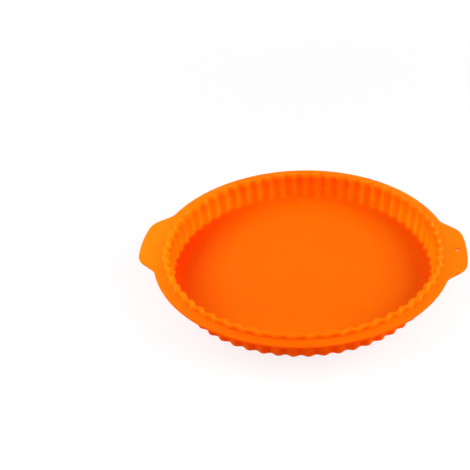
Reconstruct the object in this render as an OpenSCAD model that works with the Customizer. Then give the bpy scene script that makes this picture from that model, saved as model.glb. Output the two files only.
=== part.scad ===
/* [Rim] */
// Width of the flat rim, from the middle of the mouth's wave to its outer edge, handles left out
rim_w = 14.5; // [9:0.5:30]
// Overall height, from the base to the crown of the lip
mould_h = 28.7; // [20:0.1:45]
// Thickness of the rim and of both handles
rim_th = 2.2; // [1.6:0.1:3.5]
// Rounding of the rim's outer edge
rim_edge_r = 0.8; // [0.3:0.1:0.8]

/* [Lip] */
// Width of the raised lip around the mouth, from the wall's inner face to its foot on the rim
lip_w = 5.2; // [4:0.1:8]
// Height of the lip above the rim
lip_h = 3.3; // [1:0.1:4]
// Share of the flutes' wave that the lip's foot still follows, where 0 makes the foot a circle
foot_wave = 0.5; // [0:0.1:1]

/* [Wall] */
// Mean inside diameter of the mouth
mouth_d = 251; // [200:0.5:300]
// Lean of the wall away from upright
wall_draft = 6; // [2:0.5:20]
// Thickness of the wall
wall_th = 1.7; // [1.2:0.1:2.2]

/* [Flutes] */
// Number of flutes around the wall
flutes = 60; // [48:12:72]
// Depth of a flute at the mouth, from ridge to groove
flute_depth = 3; // [1.6:0.1:4]
// Depth of a flute at the base
flute_depth_base = 2.3; // [1:0.1:4]

/* [Base] */
// Thickness of the floor
floor_th = 2; // [1.2:0.1:4]
// Fillet between the floor and the wall
floor_fillet = 3; // [1:0.5:5]
// Rounding of the outer bottom edge
base_round = 2.5; // [1:0.5:4]

/* [Handles] */
// Reach of a handle beyond the rim
handle_reach = 13.5; // [10:0.5:24]
// Width of a handle across its outer edge
handle_w = 55; // [45:1:80]
// Lean of a handle's sides away from its axis
handle_flare = 40; // [25:1:45]
// Rounding of a handle's outer corners
handle_corner_r = 20; // [6:1:26]
// Rounding where a handle's sides run into the rim
handle_root_r = 14; // [6:1:24]

/* [Hanging hole] */
// Diameter of the hole in one handle
hole_d = 4; // [3:0.5:8]
// Distance of its centre from the handle's outer edge
hole_inset = 8.5; // [6:0.5:10]

/* [Hidden] */
// Steps around each flute, and so all around the mould
flute_steps = 6;
ring_n = flutes * flute_steps;
rim_r = mouth_d / 2 + rim_w;
rim_top = mould_h - lip_h;
rim_under = rim_top - rim_th;
// The middle of a rounded corner lies this share of its radius inside each of its two faces
round_in = 1 - sqrt(0.5);
// Shares of the lip's width, from the wall's inner face, at which its shoulders and its crown lie
lip_inner = 0.13;
lip_crown = 0.53;
lip_outer = 0.78;
// Share of the lip's height at which both shoulders stand
lip_shoulder = 0.75;
// How far a cut runs past the faces that it opens
cut_over = 1;

handle_r = rim_r + handle_reach;
// A handle's side is a line: side_dist from the axis, its normal at the angle side_dir
side_dir = 90 - handle_flare;
side_dist = handle_r * sin(handle_flare) + handle_w / 2 * cos(handle_flare);
// Centres of the corner arc and of the root arc, which touch that line on opposite sides
corner_at = side_dir - acos((side_dist - handle_corner_r) / (handle_r - handle_corner_r));
root_at = side_dir - acos((side_dist + handle_root_r) / (rim_r + handle_root_r));
corner_c = (handle_r - handle_corner_r) * aim(corner_at);
root_c = (rim_r + handle_root_r) * aim(root_at);
// Angles at which the side leaves the corner arc and meets the root arc
side_from = angle_of(corner_c + handle_corner_r * aim(side_dir));
side_to = angle_of(root_c - handle_root_r * aim(side_dir));

function aim(a) = [cos(a), sin(a)];
function angle_of(p) = atan2(p.y, p.x);
// Angle from the nearer handle's axis, 0 to 90
function off_axis(a) = acos(abs(cos(a)));
// Distance at which a ray from the axis leaves a circle (side 1) or enters it (side -1)
function ray_to_circle(u, c, r, side) = u * c + side * sqrt(r * r - pow(cross(u, c), 2));

// Radius of the outer edge at the angle a from a handle's axis
function edge_r(a) =
    a < corner_at ? handle_r :
    a < side_from ? ray_to_circle(aim(a), corner_c, handle_corner_r, 1) :
    a < side_to ? side_dist / cos(a - side_dir) :
    a < root_at ? ray_to_circle(aim(a), root_c, handle_root_r, -1) :
    rim_r;

// Depth of the flutes at the height z
function depth(z) = flute_depth_base + (flute_depth - flute_depth_base) * z / rim_top;
// Mean inside radius of the wall at the height z
function wall_r(z) = mouth_d / 2 - (rim_top - z) * tan(wall_draft);
function outer_r(z) = wall_r(z) + wall_th / cos(wall_draft);

// Section as [radius, height], from the base up the outside and down the inside, where the flutes
// push the wall out by the share w of half their depth and the outer edge lies at the radius edge
function section(w, edge) = let (
        base_r = outer_r(base_round) + w * depth(base_round) / 2,
        push = w * depth(rim_top) / 2,
        lip_r = wall_r(rim_top) + push,
        foot_r = wall_r(rim_top) + foot_wave * push + lip_w,
        floor_r = wall_r(floor_th + floor_fillet) + w * depth(floor_th + floor_fillet) / 2
    ) [
        [base_r - base_round, 0],
        [base_r - round_in * base_round, round_in * base_round],
        [base_r, base_round],
        [outer_r(rim_under) + w * depth(rim_under) / 2, rim_under],
        [edge - rim_edge_r, rim_under],
        [edge, rim_under + rim_edge_r],
        [edge, rim_top - rim_edge_r],
        [edge - rim_edge_r, rim_top],
        [foot_r, rim_top],
        [lip_r + lip_outer * lip_w, rim_top + lip_shoulder * lip_h],
        [lip_r + lip_crown * lip_w, mould_h],
        [lip_r + lip_inner * lip_w, rim_top + lip_shoulder * lip_h],
        [lip_r, rim_top],
        [floor_r, floor_th + floor_fillet],
        [floor_r - round_in * floor_fillet, floor_th + round_in * floor_fillet],
        [floor_r - floor_fillet, floor_th],
    ];

// The one moulded piece: floor, fluted wall, lip, rim and both handles
module shell() {
    sections = [for (i = [0 : ring_n - 1]) let (a = i * 360 / ring_n)
        section(cos(flutes * a), edge_r(off_axis(a)))];
    m = len(sections[0]);
    points = [for (i = [0 : ring_n - 1], p = sections[i]) let (u = aim(i * 360 / ring_n))
        [p.x * u.x, p.x * u.y, p.y]];
    sides = [for (i = [0 : ring_n - 1], j = [0 : m - 2]) let (k = (i + 1) % ring_n, a = i * m + j, b = k * m + j)
        each [[a, a + 1, b + 1], [a, b + 1, b]]];
    base = [for (i = [0 : ring_n - 1]) i * m];
    floor_top = [for (i = [ring_n - 1 : -1 : 0]) i * m + m - 1];
    polyhedron(points, concat([base, floor_top], sides));
}

module tart_mould() {
    color("darkorange")
    difference() {
        shell();
        translate([handle_r - hole_inset, 0, rim_under - cut_over])
        cylinder(h = rim_th + 2 * cut_over, d = hole_d, $fn = 64);
    }
}

tart_mould();
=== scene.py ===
from math import acos, atan2, cos, hypot, pi, radians, sin, sqrt, tan

import bmesh
import bpy
from mathutils import Matrix, Vector


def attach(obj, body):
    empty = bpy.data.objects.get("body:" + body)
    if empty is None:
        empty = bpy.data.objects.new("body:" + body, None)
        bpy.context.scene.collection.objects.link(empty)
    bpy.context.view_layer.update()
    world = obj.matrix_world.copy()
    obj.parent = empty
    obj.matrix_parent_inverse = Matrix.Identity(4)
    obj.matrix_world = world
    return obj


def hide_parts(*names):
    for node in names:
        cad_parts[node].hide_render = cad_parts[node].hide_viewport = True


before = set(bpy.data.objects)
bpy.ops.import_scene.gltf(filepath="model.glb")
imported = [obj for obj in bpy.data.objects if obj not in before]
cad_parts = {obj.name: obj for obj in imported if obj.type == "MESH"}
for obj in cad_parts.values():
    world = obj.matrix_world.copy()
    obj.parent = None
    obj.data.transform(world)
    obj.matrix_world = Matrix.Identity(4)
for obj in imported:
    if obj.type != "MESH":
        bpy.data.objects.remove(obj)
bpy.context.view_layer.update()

# Silicone mould
# One piece of soft silicone, pressed in a hot steel tool: a thin floor, a fluted wall that leans
# outwards, a rounded lip along the wave of the wall, and a flat rim that widens into two handles,
# one of them with a small round hole to hang it by. Sizes are in millimetres.
MM = 0.001
flutes = 60
steps_per_flute = 12
flute_depth_mouth = 3.0
flute_depth_base = 2.3
mouth_r = 125.5
mould_h = 28.7
lip_h = 3.3
lip_w = 5.2
rim_r = 140.0
rim_th = 2.2
floor_th = 2.0
wall_th = 1.7
wall_lean = radians(6)
rim_top = mould_h - lip_h
rim_under = rim_top - rim_th
foot_r = mouth_r + lip_w


def inside_r(z):
    """Mean radius of the wall's inner face at the height z."""
    return mouth_r - (rim_top - z) * tan(wall_lean)


def outside_r(z):
    """Mean radius of the wall's outer face at the height z."""
    return inside_r(z) + wall_th / cos(wall_lean)


# The section is one line from the middle of the underside, out and up the outer face, round the
# rim and the lip, and down the inner face to the middle of the floor: radius, height, rounding.
base_round = 2.2
edge_round = 0.8
foot_round = 0.8
lip_outer_round = 1.7
lip_inner_round = 2.3
lip_crown_r = foot_r - 0.9
floor_fillet = 2.8
floor_flat_r = 116
rim_rings = [132.8, 133.8, 135, 137.6, 138.6]
section_line = [
    (0, 0, 0),
    (60, 0, 0),
    (floor_flat_r, 0, 0),
    (outside_r(0), 0, base_round),
    (outside_r(4), 4, 0),
    (outside_r(21.5), 21.5, 0),
    (outside_r(rim_under), rim_under, edge_round),
    (130.5, rim_under, 0),
    *[(ring, rim_under, 0) for ring in rim_rings],
    (rim_r, rim_under, edge_round),
    (rim_r, rim_top, edge_round),
    *[(ring, rim_top, 0) for ring in reversed(rim_rings)],
    (foot_r, rim_top, foot_round),
    (lip_crown_r, mould_h, lip_outer_round),
    (inside_r(mould_h), mould_h, lip_inner_round),
    (inside_r(23.5), 23.5, 0),
    (inside_r(6.5), 6.5, 0),
    (inside_r(floor_th), floor_th, floor_fillet),
    (floor_flat_r, floor_th, 0),
    (104, floor_th, 0),
    (60, floor_th, 0),
    (0, floor_th, 0),
]
shell = bmesh.new()
line_points = [shell.verts.new((r, 0, z)) for r, z, rounding in section_line]
for near, far in zip(line_points, line_points[1:]):
    shell.edges.new((near, far))
for point, (r, z, rounding) in zip(line_points, section_line):
    if rounding:
        bmesh.ops.bevel(
            shell,
            geom=[point],
            offset=rounding,
            offset_type="OFFSET",
            affect="VERTICES",
            segments=6 if rounding > 1 else 4,
            profile=0.5,
            material=-1,
        )
wall_edges = [e for e in shell.edges if abs(e.verts[0].co.z - e.verts[1].co.z) > 10]
bmesh.ops.subdivide_edges(shell, edges=wall_edges, cuts=4)
bmesh.ops.spin(
    shell,
    geom=shell.verts[:] + shell.edges[:],
    cent=(0, 0, 0),
    axis=(0, 0, 1),
    dvec=(0, 0, 0),
    angle=2 * pi,
    steps=flutes * steps_per_flute,
    use_merge=True,
    use_duplicate=False,
)
bmesh.ops.remove_doubles(shell, verts=shell.verts, dist=0.0001)

# A handle's outline: an arc about the mould's axis, a rounded corner, a straight side that leans
# away from the handle's axis, and a rounding into the rim.
handle_r = 153.5
handle_w = 55.0
side_flare = radians(40)
corner_round = 20.0
root_round = 14.0
side_dir = pi / 2 - side_flare
side_dist = handle_r * sin(side_flare) + handle_w / 2 * cos(side_flare)
corner_at = side_dir - acos((side_dist - corner_round) / (handle_r - corner_round))
root_at = side_dir - acos((side_dist + root_round) / (rim_r + root_round))


def aim(angle):
    """The direction at an angle from the handle's axis."""
    return Vector((cos(angle), sin(angle)))


corner_centre = (handle_r - corner_round) * aim(corner_at)
root_centre = (rim_r + root_round) * aim(root_at)
side_start = corner_centre + corner_round * aim(side_dir)
side_end = root_centre - root_round * aim(side_dir)


def edge_r(angle):
    """Radius of the outer edge at an angle from the nearer handle's axis."""
    if angle < corner_at:
        return handle_r
    if angle < atan2(side_start.y, side_start.x):
        off = aim(angle).cross(corner_centre)
        return aim(angle).dot(corner_centre) + sqrt(corner_round**2 - off**2)
    if angle < atan2(side_end.y, side_end.x):
        return side_dist / cos(angle - side_dir)
    if angle < root_at:
        off = aim(angle).cross(root_centre)
        return aim(angle).dot(root_centre) - sqrt(root_round**2 - off**2)
    return rim_r


# The wave starts outside the floor's flat part and ends where the wall runs into the rim's
# underside. On top it fades over the lip's outer slope and is gone a little past the lip's foot.
wave_from = 117
wave_to_below = 129.5
lip_slope = 2.4
foot_wave = 0.5
flat_from = foot_r + 1.2
flat_to = rim_r - 1.4


def wave_share(r, z):
    """How much of the wave a point follows: the lip's foot on the rim is nearly a circle."""
    if r < wave_from:
        return 0.0
    if z < rim_top - 0.1:
        return 1.0 if r < wave_to_below else 0.0
    if r < foot_r:
        return 1 - (1 - foot_wave) * max(r - foot_r + lip_slope, 0) / lip_slope
    return foot_wave * max(flat_from - r, 0) / (flat_from - foot_r)


# The wave pushes the wall, the lip and both ends of the wall in and out, and the rim's flat part
# is drawn out into the handles, all of it along the radius.
for v in shell.verts:
    r = hypot(v.co.x, v.co.y)
    if r < 1:
        continue
    angle = atan2(v.co.y, v.co.x)
    depth = flute_depth_base + (flute_depth_mouth - flute_depth_base) * v.co.z / rim_top
    push = wave_share(r, v.co.z) * depth / 2 * cos(flutes * angle)
    if r > flat_from:
        from_axis = acos(min(abs(cos(angle)), 1.0))
        push += (edge_r(from_axis) - rim_r) * min((r - flat_from) / (flat_to - flat_from), 1.0)
    v.co.x += push * cos(angle)
    v.co.y += push * sin(angle)

# The hole is a small round bore with softened mouths, let into the handle on the right. The
# handle's faces around it are taken out, the bore is spun, and flat faces close the gap.
hole_r = 2.0
hole_x = handle_r - 8.5
mouth_round = 0.1
opened = []
for f in shell.faces:
    c = f.calc_center_median()
    if abs(c.x - hole_x) < 4 and abs(c.y) < 5 and rim_under - 0.1 < c.z < rim_top + 0.1:
        opened.append(f)
bmesh.ops.delete(shell, geom=opened, context="FACES_KEEP_BOUNDARY")
bore_line = [
    shell.verts.new((hole_x + hole_r + 2 * mouth_round, 0, rim_top)),
    shell.verts.new((hole_x + hole_r, 0, rim_top)),
    shell.verts.new((hole_x + hole_r, 0, rim_under)),
    shell.verts.new((hole_x + hole_r + 2 * mouth_round, 0, rim_under)),
]
for pair in zip(bore_line, bore_line[1:]):
    shell.edges.new(pair)
bmesh.ops.bevel(
    shell,
    geom=bore_line[1:3],
    offset=mouth_round,
    offset_type="OFFSET",
    affect="VERTICES",
    segments=4,
    profile=0.5,
    material=-1,
)
bore_wire = [e for e in shell.edges if e.is_wire]
bore_points = [v for v in shell.verts if any(e.is_wire for e in v.link_edges)]
bmesh.ops.spin(
    shell,
    geom=bore_points + bore_wire,
    cent=(hole_x, 0, 0),
    axis=(0, 0, 1),
    dvec=(0, 0, 0),
    angle=2 * pi,
    steps=36,
    use_merge=True,
    use_duplicate=False,
)
for level in (rim_top, rim_under):
    open_edges = [
        e for e in shell.edges if e.is_boundary and all(abs(v.co.z - level) < 0.01 for v in e.verts)
    ]
    bmesh.ops.triangle_fill(shell, edges=open_edges, use_beauty=True, normal=(0, 0, 1))

bmesh.ops.scale(shell, vec=(MM, MM, MM), verts=shell.verts)
bmesh.ops.recalc_face_normals(shell, faces=shell.faces)
for f in shell.faces:
    f.smooth = True
mould_mesh = bpy.data.meshes.new("mould_shell")
shell.to_mesh(mould_mesh)
shell.free()
mould = bpy.data.objects.new("mould_shell", mould_mesh)
bpy.context.scene.collection.objects.link(mould)


class Signal:
    """An output of a shader node. Plain arithmetic on it adds Math nodes."""

    def __init__(self, finish, socket):
        self.finish = finish
        self.socket = socket

    def worked(self, operation, first, second):
        return self.finish.add("ShaderNodeMath", {"operation": operation}, {0: first, 1: second})

    def __add__(self, other):
        return self.worked("ADD", self, other)

    def __radd__(self, other):
        return self.worked("ADD", other, self)

    def __sub__(self, other):
        return self.worked("SUBTRACT", self, other)

    def __rsub__(self, other):
        return self.worked("SUBTRACT", other, self)

    def __mul__(self, other):
        return self.worked("MULTIPLY", self, other)

    def __rmul__(self, other):
        return self.worked("MULTIPLY", other, self)

    def __truediv__(self, other):
        return self.worked("DIVIDE", self, other)

    def __rtruediv__(self, other):
        return self.worked("DIVIDE", other, self)

    def __pow__(self, other):
        return self.worked("POWER", self, other)

    def __rpow__(self, other):
        return self.worked("POWER", other, self)


class Finish:
    """The nodes of a material or of the world, added one by one."""

    def __init__(self, owner):
        self.owner = owner
        owner.use_nodes = True
        self.tree = owner.node_tree
        self.tree.nodes.clear()

    def add(self, kind, settings, sockets, out=0):
        """Adds a node: its settings first, then its sockets' values or links."""
        node = self.tree.nodes.new(kind)
        for name, value in settings.items():
            setattr(node, name, value)
        for name, value in sockets.items():
            if isinstance(value, Signal):
                self.tree.links.new(value.socket, node.inputs[name])
            else:
                node.inputs[name].default_value = value
        return Signal(self, node.outputs[out]) if node.outputs else node


silicone = Finish(bpy.data.materials.new("moulded_silicone"))


def along(vector, axis):
    """How far a vector reaches along one axis."""
    return silicone.add("ShaderNodeSeparateXYZ", {}, {0: vector}, axis)


def rising(value, start, end):
    """A mask that runs softly from 0 to 1 while a value runs from start to end."""
    ends = {"Value": value, "From Min": start, "From Max": end}
    return silicone.add("ShaderNodeMapRange", {"interpolation_type": "SMOOTHSTEP"}, ends)


def cosine(angle):
    """The cosine of an angle that varies over the surface."""
    return silicone.add("ShaderNodeMath", {"operation": "COSINE"}, {0: angle})


def noise(scale, detail, roughness):
    """A fine uneven pattern all through the silicone."""
    knobs = {"Vector": place, "Scale": scale, "Detail": detail, "Roughness": roughness}
    return silicone.add("ShaderNodeTexNoise", {}, knobs, "Fac")


# Where a point lies: its height, its distance from the mould's axis, and how far to the right or
# to the back it is seen from there
place = silicone.add("ShaderNodeTexCoord", {}, {}, "Object")
x = along(place, "X")
y = along(place, "Y")
height = along(place, "Z")
radius = (x * x + y * y) ** 0.5
to_right = x / radius
to_back = y / radius
sideways = x * x / (radius * radius + 0.0001)

# Masks for the parts of the mould
normal = silicone.add("ShaderNodeNewGeometry", {}, {}, "Normal")
outward = rising(x * along(normal, "X") + y * along(normal, "Y"), 20 * MM, 60 * MM)
above_floor = rising(height, 2.2 * MM, 5.0 * MM)
high_up = rising(height, 11 * MM, 24 * MM)
on_rim = rising(height, 23.6 * MM, 25.2 * MM)
on_lip = rising(height, 25.6 * MM, 27.2 * MM)
near_wall = rising(radius, 70 * MM, 121 * MM) * (1 - above_floor)
inner_wall = above_floor * (1 - outward) * (1 - on_rim)
under_rim = outward * (1 - on_rim)
rim_edge_shade = outward * rising(radius, 138.5 * MM, 139.2 * MM)
from_hole = ((x - hole_x * MM) * (x - hole_x * MM) + y * y) ** 0.5
hole_shade = 1 - rising(from_hole, 2.1 * MM, 3.0 * MM)

# The flutes' wave, where 1 is its outermost line, and the side of each flute that lies in shade,
# where painted shade goes
around = silicone.add("ShaderNodeMath", {"operation": "ARCTAN2"}, {0: y, 1: x})
wave = cosine(flutes * around)
recess = cosine(flutes * around + radians(40))

# Painted shade runs along the line where the lip meets the rim, which follows half of the wave
foot_swing = foot_wave * flute_depth_mouth / 2 * MM
from_foot = radius - foot_r * MM - foot_swing * wave
at_foot = rising(from_foot, -1.2 * MM, -0.1 * MM) * (1 - rising(from_foot, 0.3 * MM, 2.0 * MM))
foot_painted_shade = at_foot * on_rim

# The silicone's own orange lies between a shaded and a lit orange. Painted light makes it lighter
# on the lip, the handles and the inner wall, and painted shade makes it deeper on the floor next to
# the wall, in the flutes' recesses, under the rim, at its edge and in the hole.
body_tone = 0.346
# Painted shade on the floor next to the wall, deepest at the left and the right, with a little
# painted light towards the front.
floor_painted_light_and_shade = 0.06 - 0.09 * to_back - sideways * (0.30 - 0.09 * to_right)
# Painted light on the inner wall, strongest on the side walls and most on the right, with less of
# it towards the top.
wall_painted_light = 0.146 + sideways * (0.228 + 0.118 * to_right) - 0.17 * high_up
wall_painted_light = wall_painted_light + (1 - high_up) * sideways * (0.17 - 0.20 * sideways)
# Painted shade on one flank of each flute and painted light on the other, strongest at the back on
# the right.
flute_painted_shade = (0.06 + 0.30 * to_right * to_back) * recess
# Painted light on the rim, the handles and the lip, growing towards the back and the sides, most on
# the left.
rim_painted_light = 0.062 + 0.093 * to_back + sideways * (0.176 - 0.112 * to_right * sideways)
# Painted light on the lip, strongest at the front and fading towards the back and the sides.
lip_painted_light = 0.10 - 0.085 * to_back - 0.105 * sideways
lightness = (
    body_tone
    + near_wall * floor_painted_light_and_shade
    + inner_wall * (wall_painted_light - flute_painted_shade)
    + on_rim * rim_painted_light
    + on_lip * lip_painted_light
    # Painted shade on the outer wall under the rim, striped along the flutes.
    + under_rim * (0.07 * recess - 0.20)
    # Painted shade along the lip's foot, darkest where the wave dips inwards.
    - foot_painted_shade * (0.10 - 0.09 * wave)
    # Painted shade on the rim's outer edge.
    - 0.14 * rim_edge_shade
    # Painted shade in the hole's bore and around its mouths.
    - 0.22 * hole_shade
)
# The two ends of the mix: the orange in the deepest painted shade and in the brightest painted
# light.
shaded_orange = (0.94, 0.060, 0.0005, 1)
lit_orange = (0.96, 0.320, 0.0010, 1)
dull_tint = (0.9, 0.75, 0.6, 1)
cloudy = noise(22.0, 3.0, 0.5)
grain = noise(900.0, 4.0, 0.6)
lit_and_shaded_orange = silicone.add(
    "ShaderNodeMix",
    {"data_type": "RGBA"},
    {"Factor": lightness, 6: shaded_orange, 7: lit_orange},
    2,
)
mottled = silicone.add(
    "ShaderNodeMix",
    {"data_type": "RGBA", "blend_type": "MULTIPLY"},
    {"Factor": 0.06 * cloudy + 0.04 * grain, 6: lit_and_shaded_orange, 7: dull_tint},
    2,
)
skin = silicone.add(
    "ShaderNodeBump",
    {},
    {"Strength": 0.25, "Distance": 0.2 * MM, "Height": 0.6 * grain + 0.4 * cloudy},
    "Normal",
)
surface = silicone.add(
    "ShaderNodeBsdfPrincipled",
    {},
    {
        "Base Color": mottled,
        "Metallic": 0.06,
        "Roughness": 0.46 + 0.10 * cloudy,
        "Subsurface Weight": 1.0,
        "Subsurface Radius": (1.0, 0.4, 0.1),
        "Subsurface Scale": 2 * MM,
        "Specular IOR Level": 0.05,
        "Specular Tint": (1.0, 0.2, 0.01, 1),
        "IOR": 1.3,
        "Normal": skin,
    },
    "BSDF",
)
silicone.add("ShaderNodeOutputMaterial", {}, {"Surface": surface})
mould_mesh.materials.append(silicone.owner)

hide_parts("tart_mould")
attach(mould, "root")

# Floor
# A plain white table top that runs on past the view and stands just clear of the mould's base.
# The eye sees it near white next to the mould, with the mould's shadow, and plain white beyond.
table_bm = bmesh.new()
bmesh.ops.create_grid(table_bm, x_segments=1, y_segments=1, size=4.0)
bmesh.ops.translate(table_bm, verts=table_bm.verts, vec=(0, 0, -0.1 * MM))
table_mesh = bpy.data.meshes.new("table_top")
table_bm.to_mesh(table_mesh)
table_bm.free()
table_top = bpy.data.objects.new("table_top", table_mesh)
bpy.context.scene.collection.objects.link(table_top)
white = Finish(bpy.data.materials.new("white_table"))


def straight_to_eye(finish):
    """1 for the camera's own rays and for those that gloss or glass turns, and 0 for the rest."""
    own = finish.add("ShaderNodeLightPath", {}, {}, "Is Camera Ray")
    turned = finish.add("ShaderNodeLightPath", {}, {}, "Is Glossy Ray")
    passed = finish.add("ShaderNodeLightPath", {}, {}, "Is Transmission Ray")
    return own + turned + passed


near_share = 0.78
bounced = white.add("ShaderNodeBsdfDiffuse", {}, {"Color": (0.78, 0.78, 0.78, 1)})
paint = white.add("ShaderNodeBsdfDiffuse", {}, {"Color": (0.95, 0.95, 0.95, 1)})
glow = white.add("ShaderNodeEmission", {}, {"Color": (1, 1, 1, 1), "Strength": 1.0})
table_place = white.add("ShaderNodeTexCoord", {}, {}, "Object")
away = white.add("ShaderNodeVectorMath", {"operation": "LENGTH"}, {0: table_place}, "Value")
far_off = white.add("ShaderNodeMapRange", {}, {"Value": away, "From Min": 0.25, "From Max": 0.65})
glow_share = near_share + (1 - near_share) * far_off
seen = white.add("ShaderNodeMixShader", {}, {0: glow_share, 1: paint, 2: glow})
mixed = white.add("ShaderNodeMixShader", {}, {0: straight_to_eye(white), 1: bounced, 2: seen})
white.add("ShaderNodeOutputMaterial", {}, {"Surface": mixed})
table_mesh.materials.append(white.owner)

# Light
# A white studio tent: soft light from all round, with a soft box overhead, one on each side, of
# which the one on the right is a little stronger, and one in front. The tent itself looks white.
world = bpy.data.worlds.new("tent")
bpy.context.scene.world = world
tent = Finish(world)
soft = tent.add("ShaderNodeBackground", {}, {"Color": (1, 1, 1, 1), "Strength": 0.25})
plain = tent.add("ShaderNodeBackground", {}, {"Color": (1, 1, 1, 1), "Strength": 1.0})
both = tent.add("ShaderNodeMixShader", {}, {0: straight_to_eye(tent), 1: soft, 2: plain})
tent.add("ShaderNodeOutputWorld", {}, {"Surface": both})


def soft_box(name, where, width, depth, watts):
    """A soft box that faces the mould."""
    lamp = bpy.data.lights.new(name, "AREA")
    lamp.shape = "RECTANGLE"
    lamp.size = width
    lamp.size_y = depth
    lamp.energy = watts
    box = bpy.data.objects.new(name, lamp)
    box.location = where
    box.rotation_euler = (-Vector(where)).to_track_quat("-Z", "Y").to_euler()
    box.visible_camera = False
    bpy.context.scene.collection.objects.link(box)


soft_box("overhead", (0.0, 0.25, 1.5), 1.4, 1.2, 1.6)
soft_box("left", (-0.7, 0.0, 0.38), 0.8, 0.6, 5.6)
soft_box("right", (0.7, 0.0, 0.38), 0.8, 0.6, 7.0)
soft_box("front", (0.0, -0.9, 0.55), 1.2, 0.6, 2.6)

# Camera
# It looks down at the mould from the front, a little turned, from three quarters of a metre.
looks_down = radians(36.14)
pan = Matrix.Rotation(radians(4.44), 4, "Z")
tilt = Matrix.Rotation(pi / 2 - looks_down, 4, "X")
roll = Matrix.Rotation(radians(-1.19), 4, "Z")
stand_back = Matrix.Translation((0.00028, 0.01554, 0.75222))
lens_data = bpy.data.cameras.new("view")
lens_data.sensor_width = 36
lens_data.lens = 59.8
lens_data.shift_x = -0.1455
lens_data.shift_y = 0.0329
camera = bpy.data.objects.new("view", lens_data)
camera.matrix_world = pan @ tilt @ roll @ stand_back
bpy.context.scene.collection.objects.link(camera)
bpy.context.scene.camera = camera

bpy.context.scene.view_settings.view_transform = "Standard"
